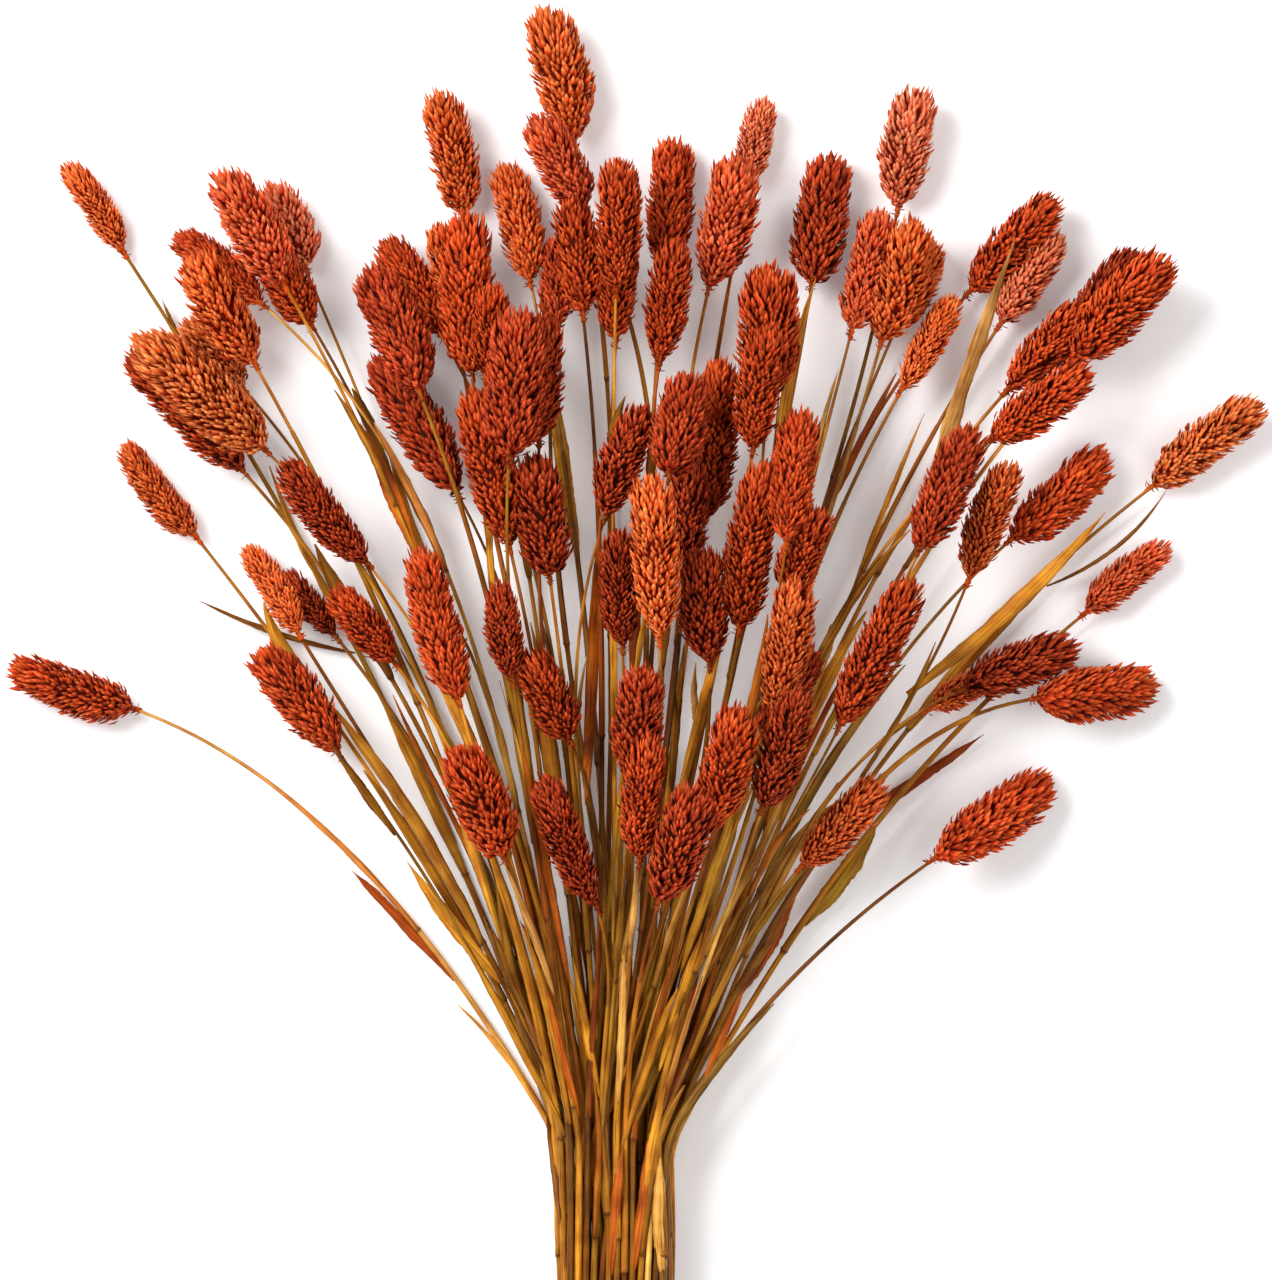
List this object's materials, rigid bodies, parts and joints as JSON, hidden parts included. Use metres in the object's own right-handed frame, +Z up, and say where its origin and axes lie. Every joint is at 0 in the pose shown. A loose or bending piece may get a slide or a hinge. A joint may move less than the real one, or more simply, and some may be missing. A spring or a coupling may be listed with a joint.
{
  "type": "dried grass bunch",
  "caption": "Bunch of dried ornamental grass with dyed spiky seed heads on straw stems, tied with twine and lying on its side.",
  "frame": {"origin": "middle of the flat spot under the twine, on the surface that the bunch lies on", "axes": "+Y along the bunch from the twine to the heads, +X to the right seen from above with the heads up, +Z up from the surface"},
  "size_m": [0.3784, 0.4491, 0.0688],
  "materials": {
    "heads": "dry, dull, dyed orange",
    "stems": "dry straw, slightly glossy",
    "twine": "rough jute"
  },
  "bodies": {
    "root": {"heads_01": "heads", "heads_02": "heads", "heads_03": "heads", "heads_04": "heads", "heads_05": "heads", "heads_06": "heads", "heads_07": "heads", "heads_08": "heads", "heads_09": "heads", "heads_10": "heads", "heads_11": "heads", "heads_12": "heads", "heads_13": "heads", "heads_14": "heads", "heads_15": "heads", "heads_16": "heads", "heads_17": "heads", "heads_18": "heads", "heads_19": "heads", "heads_20": "heads", "heads_21": "heads", "heads_22": "heads", "heads_23": "heads", "heads_24": "heads", "heads_25": "heads", "heads_26": "heads", "heads_27": "heads", "heads_28": "heads", "heads_29": "heads", "heads_30": "heads", "heads_31": "heads", "heads_32": "heads", "heads_33": "heads", "heads_34": "heads", "heads_35": "heads", "heads_36": "heads", "heads_37": "heads", "heads_38": "heads", "heads_39": "heads", "heads_40": "heads", "heads_41": "heads", "heads_42": "heads", "heads_43": "heads", "heads_44": "heads", "heads_45": "heads", "heads_46": "heads", "heads_47": "heads", "heads_48": "heads", "heads_49": "heads", "heads_50": "heads", "heads_51": "heads", "stems_layer_1": "stems", "stems_layer_2": "stems", "stems_layer_3": "stems", "stems_layer_4": "stems", "stems_layer_5": "stems", "stems_layer_6": "stems", "twine": "twine"}
  },
  "joints": []
}
